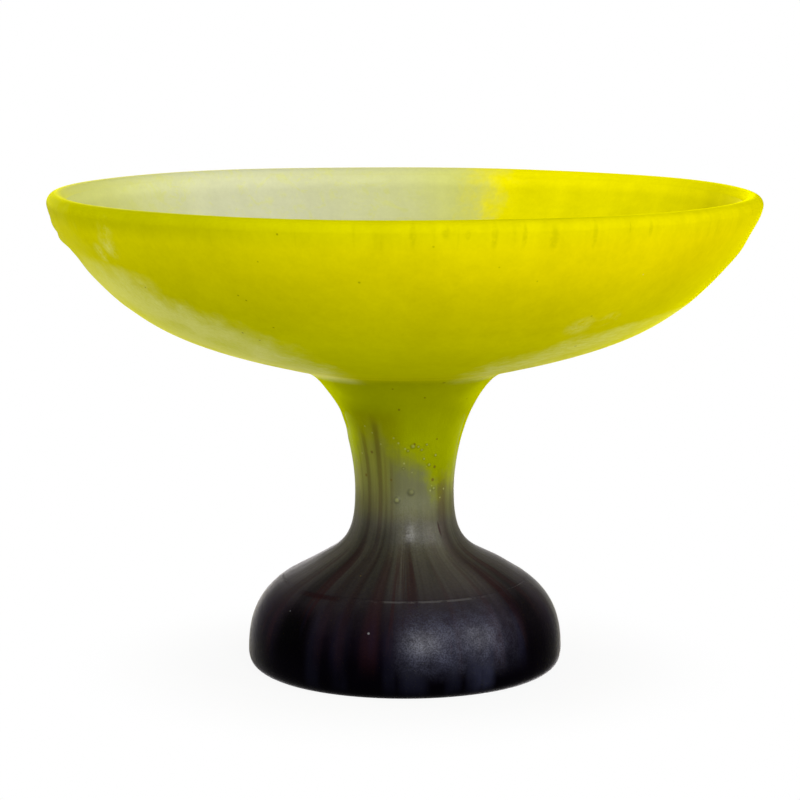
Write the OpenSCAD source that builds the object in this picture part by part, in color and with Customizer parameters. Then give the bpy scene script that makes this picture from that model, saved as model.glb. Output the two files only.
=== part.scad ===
// Footed glass dish: a wide shallow bowl on a flared stem and an open bell foot.
// Every piece is turned about the Z axis, and the ground ring of the foot stands on z = 0.
// The front is -Y. The pieces were worked hot one on another, so they touch along whole faces.

/* [Bowl] */
// Outer diameter of the rim
rim_d = 260; // [220:1:300]
// Height of the bowl, from its joint with the stem to the crest of the lip
bowl_rise = 65.6; // [54:0.1:76]
// Thickness of the bowl's wall, with its lining
wall_t = 5.5; // [4.5:0.1:7]
// Thickness of the rounded lip
lip_t = 7; // [5.6:0.1:8.5]
// Depth to which the underside of the bowl sinks into the top of the stem
pool_depth = 3.7; // [2.5:0.1:5]

/* [Lining] */
// Thickness of the pale lining inside the bowl
lining_t = 1.6; // [1:0.1:2.4]
// Height of the bare lip above the edge of the lining
lining_drop = 4.4; // [4.2:0.1:12]

/* [Stem] */
// Diameter of the waist
waist_d = 36.4; // [30:0.1:44]
// Diameter of the joint with the bowl
joint_d = 72.8; // [60:0.1:86]
// Height of the flare, from the waist to the bowl
flare_rise = 45.3; // [38:0.1:54]
// Height of the neck, from the shoulder of the foot to the waist
neck_rise = 26; // [21:0.1:31]
// Diameter of the skirt that laps down over the foot
skirt_d = 90.6; // [80:0.1:100]
// Thickness of the skirt where it is bedded in the foot
skirt_t = 1.6; // [1.2:0.1:2.4]
// Step by which the edge of the skirt stands out of the foot
skirt_step = 0.5; // [0.3:0.05:0.8]

/* [Yellow casing of the stem] */
// Thickness of the casing
casing_t = 1.6; // [1:0.1:2.4]
// Height of the casing from the bowl down to the notches between its tongues
casing_h = 18; // [14:0.1:22]
// Length of the longest tongue, below the notches
tongue_h = 28; // [22:0.1:34]
// Width of the widest tongue
tongue_w = 11; // [9:0.1:13]
// Radius of the fillets that turn each tongue into the next
notch_r = 2.4; // [1.8:0.1:3]

/* [Foot] */
// Widest diameter of the foot
foot_d = 116.3; // [104:0.1:130]
// Height of the widest place above the ground ring
belly_h = 7.8; // [6:0.1:10]
// Height from the widest place to the shoulder
shoulder_rise = 32.2; // [27:0.1:38]
// Diameter at the shoulder, where the neck begins
shoulder_d = 68.6; // [60:0.1:78]
// Outer diameter of the ground ring
ring_d = 107.2; // [98:0.1:114]
// Width of the ground ring
ring_w = 6; // [4.5:0.1:8]
// Thickness of the foot's wall
foot_wall_t = 6; // [4.5:0.1:7.5]
// Height by which the closed crown of the foot swells into the stem
crown_rise = 5; // [3:0.1:7]

/* [Hidden] */
$fn = 96;

// Facets along a long curve, a short curve and a small round
long_steps = 14;
short_steps = 8;
round_steps = 6;
// How far a cutting shape runs past what it cuts
overrun = 10;

rim_r = rim_d / 2;
joint_r = joint_d / 2;
waist_r = waist_d / 2;
skirt_r = skirt_d / 2;
foot_r = foot_d / 2;
shoulder_r = shoulder_d / 2;
ring_r = ring_d / 2;
shoulder_z = belly_h + shoulder_rise;
waist_z = shoulder_z + neck_rise;
joint_z = waist_z + flare_rise;
crest_z = joint_z + bowl_rise;
notch_z = joint_z - casing_h;

// Slopes of the outline, in degrees above level
bowl_start_slope = 12.2;
bowl_turn_slope = 36;
bowl_lip_slope = 78.9;
flare_end_slope = 33;
neck_start_slope = 153.3;

// The turn is the place where the low and the steep part of the bowl meet,
// as shares of the way out and up from the joint to the lip
bowl_turn_shares = [0.711, 0.417];
// Handles of the curves, each a share of the distance between the curve's ends
pool_handle_shares = [0.36, 0.33];
bowl_low_handle_shares = [0.67, 0.174];
bowl_high_handle_shares = [0.15, 0.297];
flare_handle_shares = [0.29, 0.315];
neck_handle_shares = [0.427, 0.58];
belly_handle_shares = [0.446, 0.41];
shoulder_handle_shares = [0.474, 0.382];
crown_handle_shares = [0.27, 0.4];
// Slopes at the start of the belly and at the end of the shoulder
belly_start_slope = 22.2;
cavity_start_slope = 40;

// The tongues: degrees from the front towards +X, length and width of each
tongue_angles = [-77, -40, -3, 41, 76, 118, 157, 201, 242];
tongue_length_shares = [0.26, 0.2, 0.43, 1, 0.74, 0.4, 0.66, 0.9, 0.36];
tongue_width_shares = [0.8, 0.72, 1, 0.86, 0.7, 0.94, 0.76, 0.9, 0.84];

// Share of their radius at which the fillets run out into the notches
notch_round_share = 0.94;
// Where the cuts of the tongues begin, as a share of the radius under the casing at the waist
tongue_root_share = 0.8;

// Points and directions in the half plane of the outline, as [radius, height]
function heading(slope) = [cos(slope), sin(slope)];
function unit(v) = v / norm(v);
// Quarter turn to the left, which leads from an outline walked upwards into its wall
function left(v) = [-v[1], v[0]];

// A curve is held as its two ends and the two handles between them
function curve(from, from_slope, to, to_slope, handle_shares) =
    let (span = norm(to - from))
    [
        from,
        from + heading(from_slope) * span * handle_shares[0],
        to - heading(to_slope) * span * handle_shares[1],
        to
    ];
function along(c, t) =
    let (s = 1 - t)
    c[0] * s * s * s + c[1] * 3 * s * s * t + c[2] * 3 * s * t * t + c[3] * t * t * t;
function direction(c, t) =
    let (s = 1 - t)
    unit((c[1] - c[0]) * s * s + (c[2] - c[1]) * 2 * s * t + (c[3] - c[2]) * t * t);
function inside(c, t, depth) = along(c, t) + left(direction(c, t)) * depth;

// Points along a curve from share a to share b, at one depth inside it
function trace(c, steps, depth = 0, a = 0, b = 1) =
    [for (i = [0 : steps]) inside(c, a + (b - a) * i / steps, depth)];
// The same between two depths
function trace_taper(c, steps, depth_a, depth_b, a = 0, b = 1) =
    [
        for (i = [0 : steps])
            inside(c, a + (b - a) * i / steps, depth_a + (depth_b - depth_a) * i / steps)
    ];
function turned_round(points) = [for (i = [len(points) - 1 : -1 : 0]) points[i]];
// The share of a curve at which it passes a radius or a height, by halving
function share_where(c, axis, value, low = 0, high = 1, turns = 24) =
    let (
        middle = (low + high) / 2,
        rising = along(c, high)[axis] > along(c, low)[axis],
        past = (along(c, middle)[axis] > value) == rising
    )
    turns == 0 ? middle
    : past ? share_where(c, axis, value, low, middle, turns - 1)
    : share_where(c, axis, value, middle, high, turns - 1);

// Outline of the bowl, from the axis out to the lip
lip_centre = [rim_r - lip_t / 2, crest_z - lip_t / 2];
lip_foot = lip_centre - left(heading(bowl_lip_slope)) * lip_t / 2;
joint_point = [joint_r, joint_z];
bowl_turn = joint_point + [
    (lip_foot[0] - joint_r) * bowl_turn_shares[0],
    (lip_foot[1] - joint_z) * bowl_turn_shares[1]
];
pool_curve = curve([0, joint_z - pool_depth], 0, joint_point, bowl_start_slope, pool_handle_shares);
bowl_low_curve =
    curve(joint_point, bowl_start_slope, bowl_turn, bowl_turn_slope, bowl_low_handle_shares);
bowl_high_curve =
    curve(bowl_turn, bowl_turn_slope, lip_foot, bowl_lip_slope, bowl_high_handle_shares);

// Outline of the stem, from the shoulder of the foot up to the bowl
shoulder_point = [shoulder_r, shoulder_z];
waist_point = [waist_r, waist_z];
neck_curve = curve(shoulder_point, neck_start_slope, waist_point, 90, neck_handle_shares);
flare_curve = curve(waist_point, 90, joint_point, flare_end_slope, flare_handle_shares);

// Outline of the foot, from the ground ring up to the shoulder
belly_point = [foot_r, belly_h];
belly_curve = curve([ring_r, 0], belly_start_slope, belly_point, 90, belly_handle_shares);
shoulder_curve =
    curve(belly_point, 90, shoulder_point, neck_start_slope, shoulder_handle_shares);
skirt_share = share_where(shoulder_curve, 0, skirt_r);

// The crown closes the foot under the stem
bed_end = inside(shoulder_curve, 1, skirt_t);
crown_top = [0, bed_end[1] + crown_rise];
crown_curve = curve(bed_end, neck_start_slope, crown_top, 180, crown_handle_shares);
cavity_end = inside(shoulder_curve, 1, foot_wall_t);
cavity_top = [0, crown_top[1] - foot_wall_t];
cavity_curve = curve(cavity_end, neck_start_slope, cavity_top, 180, crown_handle_shares);
cavity_edge_curve = curve(
    [ring_r - ring_w, 0], cavity_start_slope,
    belly_point - [foot_wall_t, 0], 90,
    belly_handle_shares
);

// Inner surface of the bowl at a depth below its outer surface, from the lip to the axis
function bowl_inside(depth, lip_depth, lip_share) = concat(
    turned_round(trace_taper(bowl_high_curve, short_steps, depth, lip_depth, 0, lip_share)),
    turned_round(trace(bowl_low_curve, long_steps, depth)),
    turned_round(trace(pool_curve, round_steps, depth))
);

// The lining stops where the bowl's wall passes the height of the bare lip
lining_share = share_where(bowl_high_curve, 1, crest_z - lining_drop);
lining_edge_t = wall_t + (lip_t - wall_t) * lining_share;

function bowl_underside() = concat(
    trace(pool_curve, round_steps),
    trace(bowl_low_curve, long_steps)
);

module bowl_body() {
    color("yellow")
    rotate_extrude()
    polygon(concat(
        bowl_underside(),
        trace(bowl_high_curve, short_steps),
        [
            for (i = [1 : 2 * round_steps - 1])
                lip_centre + heading(bowl_lip_slope - 90 + 90 * i / round_steps) * lip_t / 2
        ],
        [inside(bowl_high_curve, 1, lip_t)],
        [inside(bowl_high_curve, lining_share, lining_edge_t)],
        bowl_inside(wall_t - lining_t, lining_edge_t - lining_t, lining_share)
    ));
}

module bowl_lining() {
    color("palegoldenrod")
    rotate_extrude()
    polygon(concat(
        bowl_inside(wall_t, lining_edge_t, lining_share),
        turned_round(bowl_inside(wall_t - lining_t, lining_edge_t - lining_t, lining_share))
    ));
}

// The whole stem with its casing, before the two layers are parted
module stem_solid() {
    rotate_extrude()
    polygon(concat(
        turned_round(trace(crown_curve, short_steps)),
        turned_round(trace(shoulder_curve, round_steps, skirt_t, skirt_share, 1)),
        skirt_edge(),
        trace_taper(shoulder_curve, round_steps, -skirt_step, 0, skirt_share + skirt_edge_share, 1),
        trace(neck_curve, long_steps),
        trace(flare_curve, long_steps),
        turned_round(trace(pool_curve, round_steps))
    ));
}

// The skirt's edge is rounded over to the step by which it stands proud
skirt_edge_share = skirt_step / norm(shoulder_point - along(shoulder_curve, skirt_share));
function skirt_edge() =
    let (
        way = direction(shoulder_curve, skirt_share),
        centre = along(shoulder_curve, skirt_share) + way * skirt_step
    )
    [
        for (i = [0 : round_steps - 1])
            let (a = 90 * i / round_steps)
            centre - way * skirt_step * cos(a) - left(way) * skirt_step * sin(a)
    ];

// One tongue of the casing, drawn flat: a round end below, and fillets into the notches above
module tongue_outline(length, width) {
    tip_z = notch_z - length;
    fillet_z = notch_z - notch_r * notch_round_share;
    translate([0, tip_z + width / 2]) circle(d = width);
    translate([-width / 2, tip_z + width / 2]) square([width, length - width / 2 + overrun]);
    for (side = [-1, 1]) {
        difference() {
            translate([side * (width + notch_r) / 2, fillet_z + overrun / 2])
            square([notch_r, overrun], center = true);
            translate([side * (width / 2 + notch_r), fillet_z]) circle(r = notch_r);
        }
    }
}

// The tongues are cut radially, from well inside the casing at the waist
tongue_root_r = (waist_r - casing_t) * tongue_root_share;

// The space that the casing takes up: an even skin, a full ring above and tongues below
module casing_space() {
    intersection() {
        rotate_extrude()
        polygon(concat(
            trace(neck_curve, long_steps, casing_t),
            trace(flare_curve, long_steps, casing_t),
            [
                [joint_r - casing_t, joint_z + overrun],
                [joint_r + overrun, joint_z + overrun],
                [joint_r + overrun, shoulder_z]
            ]
        ));
        union() {
            translate([0, 0, notch_z]) cylinder(r = joint_r + 2 * overrun, h = casing_h + 2 * overrun);
            for (i = [0 : len(tongue_angles) - 1]) {
                rotate([0, 0, tongue_angles[i]])
                translate([0, -tongue_root_r, 0])
                rotate([90, 0, 0])
                linear_extrude(joint_r + 4 * overrun)
                tongue_outline(tongue_h * tongue_length_shares[i], tongue_w * tongue_width_shares[i]);
            }
        }
    }
}

module stem_casing() {
    color("olive")
    intersection() {
        stem_solid();
        casing_space();
    }
}

module stem_core() {
    color("dimgray")
    difference() {
        stem_solid();
        casing_space();
    }
}

module foot_bell() {
    color([0.16, 0.1, 0.18])
    rotate_extrude()
    polygon(concat(
        trace(belly_curve, round_steps),
        trace(shoulder_curve, long_steps, 0, 0, skirt_share),
        trace(shoulder_curve, round_steps, skirt_t, skirt_share, 1),
        trace(crown_curve, short_steps),
        turned_round(trace(cavity_curve, short_steps)),
        turned_round(trace(shoulder_curve, long_steps, foot_wall_t)),
        turned_round(trace(cavity_edge_curve, round_steps))
    ));
}

bowl_body();
bowl_lining();
stem_casing();
stem_core();
foot_bell();
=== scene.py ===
import math
from functools import reduce

import bpy
import numpy as np
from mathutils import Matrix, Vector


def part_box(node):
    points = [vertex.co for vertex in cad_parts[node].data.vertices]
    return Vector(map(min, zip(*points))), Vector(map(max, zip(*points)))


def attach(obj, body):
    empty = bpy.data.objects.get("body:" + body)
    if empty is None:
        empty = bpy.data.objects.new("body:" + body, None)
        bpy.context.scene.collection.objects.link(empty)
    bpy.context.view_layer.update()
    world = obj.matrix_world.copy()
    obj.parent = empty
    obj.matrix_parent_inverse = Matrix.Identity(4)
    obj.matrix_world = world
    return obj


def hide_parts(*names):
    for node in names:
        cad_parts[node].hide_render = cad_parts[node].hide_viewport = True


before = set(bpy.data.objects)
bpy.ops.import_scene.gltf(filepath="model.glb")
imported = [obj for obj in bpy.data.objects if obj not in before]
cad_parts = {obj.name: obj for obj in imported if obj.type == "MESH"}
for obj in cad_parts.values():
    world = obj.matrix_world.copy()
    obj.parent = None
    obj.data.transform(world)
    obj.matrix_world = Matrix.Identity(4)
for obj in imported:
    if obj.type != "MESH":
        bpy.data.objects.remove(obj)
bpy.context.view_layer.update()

# The outline is drawn in millimetres, and the meshes are in metres
MM = 0.001


# Sizes that the frame gives
def top_and_radius(node):
    """Height of a node's top and its largest radius, in millimetres."""
    _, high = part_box(node)
    return high.z / MM, max(high.x, high.y) / MM


CREST_Z, RIM_R = top_and_radius("bowl_body")
JOINT_Z, JOINT_R = top_and_radius("stem_casing")
FOOT_R = top_and_radius("foot_bell")[1]

# Sizes of the glass, in millimetres
WALL_T = 5.5
LIP_T = 7
LINING_T = 1.6
LINING_DROP = 4.4
POOL_DEPTH = 3.7
WAIST_R = 18.2
WAIST_Z = 66
SHOULDER_R = 34.3
SHOULDER_Z = 40
SKIRT_R = 45.3
SKIRT_T = 1.6
SKIRT_STEP = 0.1
BELLY_Z = 7.8
RING_R = 53.6
RING_W = 6
RING_ROUND = 0.3
FOOT_WALL_T = 6
CROWN_RISE = 5
# How far a face that another layer covers lies inside that layer
HIDDEN_GAP = 0.05

# The skin that runs down over the stem: how far it stands proud, how wide its edge feathers out,
# how thick it is, and how far its edge sinks in
CASING_H = 18
SKIN_PROUD = 0.06
SKIN_FEATHER = 6.5
SKIN_DEPTH = 0.6
SKIN_EDGE_SINK = 0.06
# It runs on under the bowl for a way, and fills the joint to a soft hollow
SKIN_OVER = 16
HOLLOW_REACH = 6
# Its tongues: degrees from the front to the right, length and width in millimetres
TONGUES = [
    (-77, 7.3, 8.8), (-40, 5.6, 7.9), (-3, 12, 11), (41, 28, 9.5), (76, 20.7, 7.7),
    (118, 11.2, 10.3), (157, 18.5, 8.4), (201, 25.2, 9.9), (242, 10.1, 9.2),
]
TONGUE_FULLNESS = 2.6
NOTCH_R = 2.4
NOTCH_Z = JOINT_Z - CASING_H

# Blisters and seeds in the skin of the stem: turn, height, radius and how far they stand out
BLISTERS = [
    (7.1, 68.2, 1.7, 0.8), (-9, 65.2, 1.5, 0.7), (8.1, 85.6, 1.4, 0.5), (152, 72, 1.5, 0.6),
    (3.2, 83.9, 0.9, 0.3), (13.7, 85.3, 0.8, 0.25), (17.3, 84.1, 0.8, 0.25), (22.2, 86, 0.8, 0.25),
    (26.9, 78.2, 1, 0.35), (20.6, 80.6, 0.8, 0.25), (34.9, 69.1, 0.9, 0.3), (34, 81.6, 0.9, 0.3),
    (-1.4, 77.1, 0.8, 0.25), (-128, 76, 1.1, 0.4), (171, 80, 0.9, 0.3),
]
# How far a blister reaches, as a share of its radius
BLISTER_REACH = 1.15

# Swellings and hollows that the hand left: turn, reach in degrees, height, reach in
# millimetres and how far they stand out
BOWL_MARKS = [
    (-90, 30, 165.4, 4, 0.75), (-90, 30, 160.8, 3, 1.2), (-90, 40, 154.5, 6, -0.6),
    (90, 40, 156, 7, 0.3), (92, 36, 164, 7, -0.55),
]
STEM_MARKS = [
    (-90, 55, 96, 9, -0.8), (-90, 60, 89, 5, -0.4), (-90, 60, 37.5, 6, -1.3),
    (90, 60, 40, 4.5, 0.7), (90, 60, 36, 4, -0.3),
]
# The rim isn't quite level: its mean, and its fall to the right and to the front
RIM_LEVEL = -0.3
RIM_ASIDE = -0.42
RIM_AHEAD = -0.5
# Waves round the pieces: size in millimetres, how many go round, and where they start
BOWL_ROUND = [(0.16, 2, 0.9), (0.14, 5, 2), (0.1, 9, 0)]
RIM_ROUND = [(0.12, 2, 0), (0.1, 3, 1.4), (0.07, 7, 0)]
FOOT_ROUND = [(0.14, 2, 2.2), (0.1, 5, 0)]
SKIN_EDGE_ROUND = [(0.5, 23, 1), (0.35, 41, 0), (0.2, 67, 2)]
# Heights at which the drawn ridges of the stem and the waves of the foot begin and end
RIDGES_START = (36, 50)
RIDGES_END = (92, 106)
RIDGE_LEAN = 40
FOOT_ROUND_START = (1, 12)
FOOT_ROUND_END = (30, 37)

# Slopes of the outline in degrees
BOWL_START_SLOPE = 12.2
BOWL_TURN_SLOPE = 36
BOWL_LIP_SLOPE = 78.9
FLARE_END_SLOPE = 33
NECK_START_SLOPE = 153.3
BELLY_START_SLOPE = 22.2
CAVITY_START_SLOPE = 40
# Lengths of the two handles of each curve, as shares of its span
POOL_HANDLES = (0.36, 0.33)
BOWL_LOW_HANDLES = (0.67, 0.174)
BOWL_HIGH_HANDLES = (0.15, 0.297)
NECK_HANDLES = (0.427, 0.58)
FLARE_HANDLES = (0.29, 0.315)
BELLY_HANDLES = (0.446, 0.41)
SHOULDER_HANDLES = (0.474, 0.382)
CROWN_HANDLES = (0.27, 0.4)
# Where the bowl's low curve meets its high one, as shares of the way from the joint to the lip
BOWL_TURN_SHARES = (0.711, 0.417)

# Faces round the pieces, and steps along their outlines
TURNS = 360
STEM_TURNS = 384
SHORT_STEPS = 16
LONG_STEPS = 60
FINE_STEPS = 110
LIP_STEPS = 28
INSIDE_STEPS = 40
NECK_STEPS = 76
SKIRT_STEPS = 30
BED_STEPS = 12
SKIN_ROWS = 150
SKIN_TRACE_STEPS = 200
FEATHER_COLUMNS = 20
SHARP_ANGLE = 40


# Outlines, as arrays of (radius, height)
def heading(slope):
    return np.array([math.cos(math.radians(slope)), math.sin(math.radians(slope))])


def left(way):
    """A quarter turn to the left, which leads from an outline walked upwards into its wall."""
    return np.stack([-way[..., 1], way[..., 0]], axis=-1)


def smooth(value, low, high):
    """0 below low, 1 above high and an even curve between."""
    share = np.clip((np.asarray(value, float) - low) / (high - low), 0, 1)
    return share * share * (3 - 2 * share)


class Curve:
    """A smooth stretch of outline between two points, with a slope and a handle at each."""

    def __init__(self, start, start_slope, end, end_slope, start_share, end_share):
        start, end = np.array(start, float), np.array(end, float)
        span = np.linalg.norm(end - start)
        self.points = [
            start,
            start + heading(start_slope) * span * start_share,
            end - heading(end_slope) * span * end_share,
            end,
        ]

    def at(self, t, depth=0.0):
        """Points at the shares t, moved into the wall by depth."""
        t = np.atleast_1d(np.asarray(t, float))[:, None]
        s = 1 - t
        a, b, c, d = self.points
        place = a * s**3 + b * 3 * s * s * t + c * 3 * s * t * t + d * t**3
        way = (b - a) * s * s + (c - b) * 2 * s * t + (d - c) * t * t
        way /= np.linalg.norm(way, axis=1)[:, None]
        return place + left(way) * np.reshape(depth, (-1, 1))

    def trace(self, steps, depth=0.0, to_depth=None, start=0.0, end=1.0):
        """Points at even shares between start and end, with the depth led over to to_depth."""
        share = np.linspace(0, 1, steps + 1)
        last = depth if to_depth is None else to_depth
        return self.at(start + (end - start) * share, depth + (last - depth) * share)

    def share_where(self, axis, value):
        """The share at which the curve passes a radius (axis 0) or a height (axis 1)."""
        share = np.linspace(0, 1, 2001)
        return share[np.argmin(np.abs(self.at(share)[:, axis] - value))]


joint = np.array([JOINT_R, JOINT_Z])
lip_centre = np.array([RIM_R - LIP_T / 2, CREST_Z - LIP_T / 2])
lip_foot = lip_centre - left(heading(BOWL_LIP_SLOPE)) * LIP_T / 2
bowl_turn = joint + (lip_foot - joint) * np.array(BOWL_TURN_SHARES)
pool_point = (0, JOINT_Z - POOL_DEPTH)
waist_point = (WAIST_R, WAIST_Z)
shoulder_point = (SHOULDER_R, SHOULDER_Z)
belly_point = (FOOT_R, BELLY_Z)
pool = Curve(pool_point, 0, joint, BOWL_START_SLOPE, *POOL_HANDLES)
bowl_low = Curve(joint, BOWL_START_SLOPE, bowl_turn, BOWL_TURN_SLOPE, *BOWL_LOW_HANDLES)
bowl_high = Curve(bowl_turn, BOWL_TURN_SLOPE, lip_foot, BOWL_LIP_SLOPE, *BOWL_HIGH_HANDLES)
neck = Curve(shoulder_point, NECK_START_SLOPE, waist_point, 90, *NECK_HANDLES)
flare = Curve(waist_point, 90, joint, FLARE_END_SLOPE, *FLARE_HANDLES)
belly = Curve((RING_R, 0), BELLY_START_SLOPE, belly_point, 90, *BELLY_HANDLES)
shoulder = Curve(belly_point, 90, shoulder_point, NECK_START_SLOPE, *SHOULDER_HANDLES)
skirt_share = shoulder.share_where(0, SKIRT_R)
outside = np.vstack([
    curve.trace(LONG_STEPS)[:-1] for curve in (belly, shoulder, neck, flare, bowl_low, bowl_high)
] + [lip_foot[None, :], [lip_centre + (LIP_T / 2, 0)]])


def radius_at(height):
    """Outer radius at a height."""
    return float(np.interp(height, outside[:, 1], outside[:, 0]))


def on_surface(turn, height):
    """The point of the outer surface at a turn from the front and a height, in millimetres."""
    radius, angle = radius_at(height), math.radians(turn)
    return radius * math.sin(angle), -radius * math.cos(angle), height


# Meshes
def put_in_scene(name, data):
    thing = bpy.data.objects.new(name, data)
    bpy.context.scene.collection.objects.link(thing)
    return thing


def mesh_piece(name, points, faces):
    mesh = bpy.data.meshes.new(name)
    mesh.from_pydata((np.asarray(points) * MM).tolist(), [], faces)
    mesh.validate()
    mesh.shade_smooth()
    mesh.set_sharp_from_angle(angle=math.radians(SHARP_ANGLE))
    return put_in_scene(name, mesh)


def ring_faces(first, second, turns):
    """Quads between two rings of points, given by their first numbers."""
    after = [(i + 1) % turns for i in range(turns)]
    return [(first + i, first + after[i], second + after[i], second + i) for i in range(turns)]


def turned(name, outline, turns, reshape):
    """A closed piece turned about Z from an outline that starts and ends on the axis."""
    turn = np.linspace(0, 2 * math.pi, turns, endpoint=False)
    points, rings = [], []
    for r, z in outline:
        pole = r < 1e-6
        rings.append((len(points), pole))
        if pole:
            points.append((0.0, 0.0, z))
        else:
            points.extend((r * math.sin(a), -r * math.cos(a), z) for a in turn)
    faces = []
    for (a, a_pole), (b, b_pole) in zip(rings, rings[1:]):
        if a_pole:
            faces.extend((a, b + (i + 1) % turns, b + i) for i in range(turns))
        elif b_pole:
            faces.extend((a + i, a + (i + 1) % turns, b) for i in range(turns))
        else:
            faces.extend(ring_faces(a, b, turns))
    return mesh_piece(name, reshape(np.array(points)), faces)


def set_in_place(piece, node, material):
    """The piece rides on the part's one body and stands for its node."""
    piece.data.materials.append(material)
    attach(piece, "root")
    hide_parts(node)


def backwards(points):
    return np.asarray(points)[::-1]


# Shapes that the hand leaves in turned glass
def moved_out(points, amount):
    """Points moved away from the axis by an amount each."""
    radius = np.hypot(points[:, 0], points[:, 1])
    share = 1 + amount / np.maximum(radius, 1)
    moved = points.copy()
    moved[:, 0] *= share
    moved[:, 1] *= share
    return moved


def turn_of(points):
    return np.arctan2(points[:, 0], -points[:, 1])


def waves_round(turn, waves):
    return sum(size * np.sin(count * turn + start) for size, count, start in waves)


def pressed(points, marks):
    """How far the marks of the hand move each point away from the axis."""
    turn, height = np.degrees(turn_of(points)), points[:, 2]
    amount = np.zeros(len(points))
    for mark_turn, reach, mark_z, tall, rise in marks:
        aside = np.abs((turn - mark_turn + 180) % 360 - 180)
        share = (1 - smooth(aside, 0, reach)) * (1 - smooth(np.abs(height - mark_z), 0, tall))
        amount += rise * share
    return amount


def bowl_by_hand(points):
    """A little out of round, a rim that isn't quite level, and a lip swollen at the left."""
    turn, height = turn_of(points), points[:, 2]
    up = smooth(height, JOINT_Z, CREST_Z)
    depth = np.interp(height, outside[:, 1], outside[:, 0]) - np.hypot(points[:, 0], points[:, 1])
    outer = 1 - smooth(depth, 0, LIP_T / 2)
    moved = moved_out(
        points, waves_round(turn, BOWL_ROUND) * up + pressed(points, BOWL_MARKS) * outer
    )
    level = RIM_LEVEL + RIM_ASIDE * np.sin(turn) + RIM_AHEAD * np.cos(turn)
    moved[:, 2] += up * (level + waves_round(turn, RIM_ROUND))
    return moved


def stem_by_hand(points):
    """Blisters under the skin, and the long soft ridges of drawn glass."""
    turn, height = turn_of(points), points[:, 2]
    drawn = smooth(height, *RIDGES_START) * (1 - smooth(height, *RIDGES_END))
    ridges = waves_round(turn, [(0.1, 7, 0.5), (0.07, 12, height / RIDGE_LEAN)])
    amount = drawn * ridges + pressed(points, STEM_MARKS)
    for blister_turn, blister_z, radius, rise in BLISTERS:
        centre = np.array(on_surface(blister_turn, blister_z))
        away = np.linalg.norm(points - centre, axis=1) / radius
        amount += rise * (1 - smooth(away, 0, BLISTER_REACH))
    return moved_out(points, amount)


def foot_by_hand(points):
    """The bell is a little out of round; its ground ring stays flat."""
    turn, height = turn_of(points), points[:, 2]
    soft = smooth(height, *FOOT_ROUND_START) * (1 - smooth(height, *FOOT_ROUND_END))
    amount = soft * waves_round(turn, FOOT_ROUND) + pressed(points, STEM_MARKS)
    return moved_out(points, amount)


lining_share = bowl_high.share_where(1, CREST_Z - LINING_DROP)
lining_edge_t = WALL_T + (LIP_T - WALL_T) * lining_share


def bowl_inside(depth, lip_depth, lip_share):
    """The bowl's inner surface, from the lip to the axis, at a depth under its outer one."""
    return np.vstack([
        backwards(bowl_high.trace(INSIDE_STEPS, depth, lip_depth, 0, lip_share)),
        backwards(bowl_low.trace(LONG_STEPS, depth))[1:],
        backwards(pool.trace(SHORT_STEPS, depth))[1:],
    ])


def bowl_piece(material):
    lip_angles = np.linspace(0, 180, LIP_STEPS + 1)[1:-1]
    lip = [lip_centre + heading(BOWL_LIP_SLOPE - 90 + a) * LIP_T / 2 for a in lip_angles]
    hidden = WALL_T - LINING_T - HIDDEN_GAP
    outline = np.vstack([
        pool.trace(SHORT_STEPS),
        bowl_low.trace(LONG_STEPS)[1:],
        bowl_high.trace(FINE_STEPS)[1:],
        lip,
        bowl_high.at(1, LIP_T),
        bowl_high.at(lining_share, lining_edge_t),
        bowl_inside(hidden, lining_edge_t - LINING_T - HIDDEN_GAP, lining_share)[:-1],
        [[0, JOINT_Z - POOL_DEPTH + hidden]],
    ])
    piece = turned("bowl", outline, TURNS, bowl_by_hand)
    set_in_place(piece, "bowl_body", material)


def lining_piece(material):
    under = bowl_inside(WALL_T - LINING_T, lining_edge_t - LINING_T, lining_share)
    over = bowl_inside(WALL_T, lining_edge_t, lining_share)
    over[-1, 0] = under[-1, 0] = 0
    piece = turned("lining", np.vstack([backwards(under), over]), TURNS, bowl_by_hand)
    set_in_place(piece, "bowl_lining", material)


def crown_curve():
    bed_end = shoulder.at(1, SKIRT_T)[0]
    top = (0, bed_end[1] + CROWN_RISE)
    return Curve(bed_end, NECK_START_SLOPE, top, 180, *CROWN_HANDLES)


def stem_piece(material):
    outline = np.vstack([
        backwards(crown_curve().trace(BED_STEPS)),
        backwards(shoulder.trace(BED_STEPS, SKIRT_T, None, skirt_share, 1))[1:],
        shoulder.trace(SKIRT_STEPS, -SKIRT_STEP, 0, skirt_share, 1),
        neck.trace(NECK_STEPS)[1:],
        flare.trace(FINE_STEPS)[1:],
        backwards(pool.trace(SHORT_STEPS))[1:],
    ])
    piece = turned("stem", outline, STEM_TURNS, stem_by_hand)
    set_in_place(piece, "stem_core", material)


def skin_edge(turn):
    """Height of the skin's lower edge at each turn, in radians, with its tongues."""
    edge = np.full(len(turn), float(NOTCH_Z))
    for tongue_turn, length, width in TONGUES:
        away = (turn - math.radians(tongue_turn) + math.pi) % (2 * math.pi) - math.pi
        half = width / 2 + NOTCH_R / 2
        across = np.clip(np.abs(away) * radius_at(NOTCH_Z - length / 2) / half, 0, 1)
        edge = np.minimum(edge, NOTCH_Z - length * np.sqrt(1 - across**TONGUE_FULLNESS))
    return edge + waves_round(turn, SKIN_EDGE_ROUND)


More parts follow.
